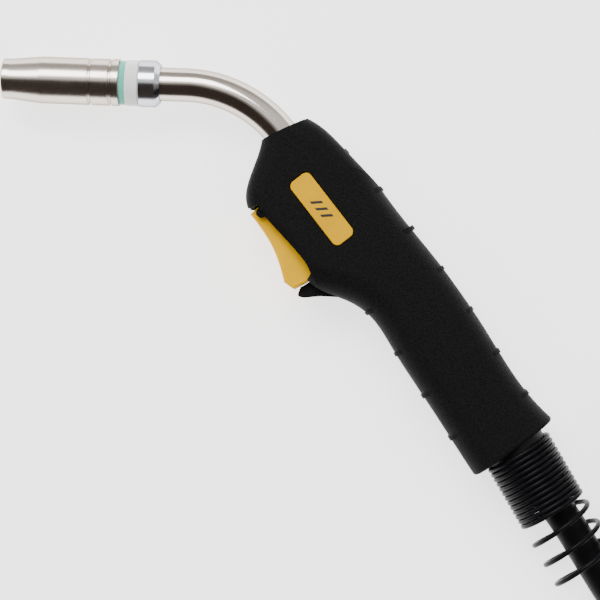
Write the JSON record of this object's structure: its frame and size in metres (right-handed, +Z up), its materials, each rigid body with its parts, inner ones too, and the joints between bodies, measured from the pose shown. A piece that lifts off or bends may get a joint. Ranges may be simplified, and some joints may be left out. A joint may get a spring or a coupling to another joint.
{
  "type": "mig welding torch",
  "caption": "Air-cooled MIG welding torch: gas nozzle, swan neck, two-shell pistol handle with trigger, spring strain relief, coiled cable and central connector plug.",
  "frame": {"origin": "on the surface it lies on, under the middle of the torch's box without its cable, strain relief spring and plug", "axes": "+Z up from the table, square to the torch's plane of symmetry; the gas nozzle points along -X; +Y is towards the neck's side"},
  "size_m": [0.5621, 0.3267, 0.055],
  "materials": {
    "nickel_nozzle": "bright nickel plate, lightly brushed round",
    "nickel_neck": "bright nickel plated tube",
    "chrome_collar": "chrome plated, polished",
    "copper": "bare copper, lightly oxidised",
    "brass": "machined brass",
    "spring_steel": "drawn spring wire",
    "screw_steel": "zinc plated steel",
    "white_insulator": "moulded off-white insulator",
    "teal_ring": "pale teal silicone",
    "sleeve_black": "black moulded insulation",
    "handle_plastic": "black glass-filled nylon, fine spark-eroded grain",
    "badge_yellow": "satin yellow label plate",
    "trigger_yellow": "satin yellow moulded plastic",
    "trigger_red": "red moulded button",
    "switch_plastic": "black phenolic",
    "wire_insulation": "red PVC",
    "black_spring": "gloss black coated wire",
    "cable_rubber": "smooth black rubber jacket",
    "boot_rubber": "soft black rubber",
    "plug_plastic": "black moulded nylon",
    "nut_plastic": "black moulded nylon, ribbed"
  },
  "bodies": {
    "torch": {"contact_tip": "copper", "tip_holder": "brass", "nozzle_spring": "spring_steel", "insulator_ring": "white_insulator", "seal_ring": "teal_ring", "neck_collar": "chrome_collar", "neck_outer_tube": "nickel_neck", "neck_insulation_sleeve": "sleeve_black", "neck_inner_tube": "copper", "wire_liner": "spring_steel", "neck_block": "brass", "cable_connector": "brass", "connector_nut": "brass", "crimp_sleeve": "copper", "cable_handle_end": "cable_rubber", "handle_shell_upper": "handle_plastic", "handle_shell_lower": "handle_plastic", "handle_screws": "screw_steel", "badge": "badge_yellow", "trigger_pin": "screw_steel", "trigger_spring": "spring_steel", "microswitch_body": "switch_plastic", "switch_terminals": "brass", "control_wires": "wire_insulation", "spring_collar": "sleeve_black", "strain_relief_spring": "black_spring", "cable_run": "cable_rubber", "cable_coil": "cable_rubber", "cable_lead": "cable_rubber", "plug_boot": "boot_rubber", "plug_housing_upper": "plug_plastic", "plug_housing_lower": "plug_plastic", "plug_housing_screws": "screw_steel", "plug_body": "brass", "plug_crimp": "copper", "gas_seal_ring": "boot_rubber", "liner_nut": "brass", "plug_face": "plug_plastic", "contact_sockets": "brass", "contact_springs": "spring_steel"},
    "nozzle": {"gas_nozzle": "nickel_nozzle"},
    "trigger": {"trigger": "trigger_yellow"},
    "switch_plunger": {"microswitch_plunger": "trigger_red"},
    "plug_nut": {"plug_nut": "nut_plastic"},
    "contact_left": {"contact_pin_left": "brass"},
    "contact_right": {"contact_pin_right": "brass"}
  },
  "joints": [
    {"name": "nozzle_pull", "type": "slide", "parent": "torch", "child": "nozzle", "axis": [-1, 0, 0], "range_m": [0, 0.06]},
    {"name": "trigger_pull", "type": "hinge", "parent": "torch", "child": "trigger", "pos_m": [-0.0071, 0.025, 0.019], "axis": [0, 0, 1], "range_deg": [0, 6], "stiffness_Nm_per_rad": 0.8, "springref_deg": -17.19, "deforming": ["trigger_spring"]},
    {"name": "switch_press", "type": "slide", "parent": "torch", "child": "switch_plunger", "axis": [0.7314, 0.682, 0], "range_m": [0, 0.0016]},
    {"name": "plug_nut_spin", "type": "hinge", "parent": "torch", "child": "plug_nut", "pos_m": [0.3966, 0.078, 0.0275], "axis": [0, 1, 0], "continuous": true},
    {"name": "contact_left_press", "type": "slide", "parent": "torch", "child": "contact_left", "axis": [0, -1, 0], "range_m": [0, 0.003], "stiffness_N_per_m": 80, "springref_m": -0.008, "deforming": ["contact_springs"]},
    {"name": "contact_right_press", "type": "slide", "parent": "torch", "child": "contact_right", "axis": [0, -1, 0], "range_m": [0, 0.003], "stiffness_N_per_m": 80, "springref_m": -0.008, "deforming": ["contact_springs"]}
  ],
  "couplings": [
    {"joint": "switch_press", "follows": "trigger_pull", "m_per_rad": 0.014}
  ]
}
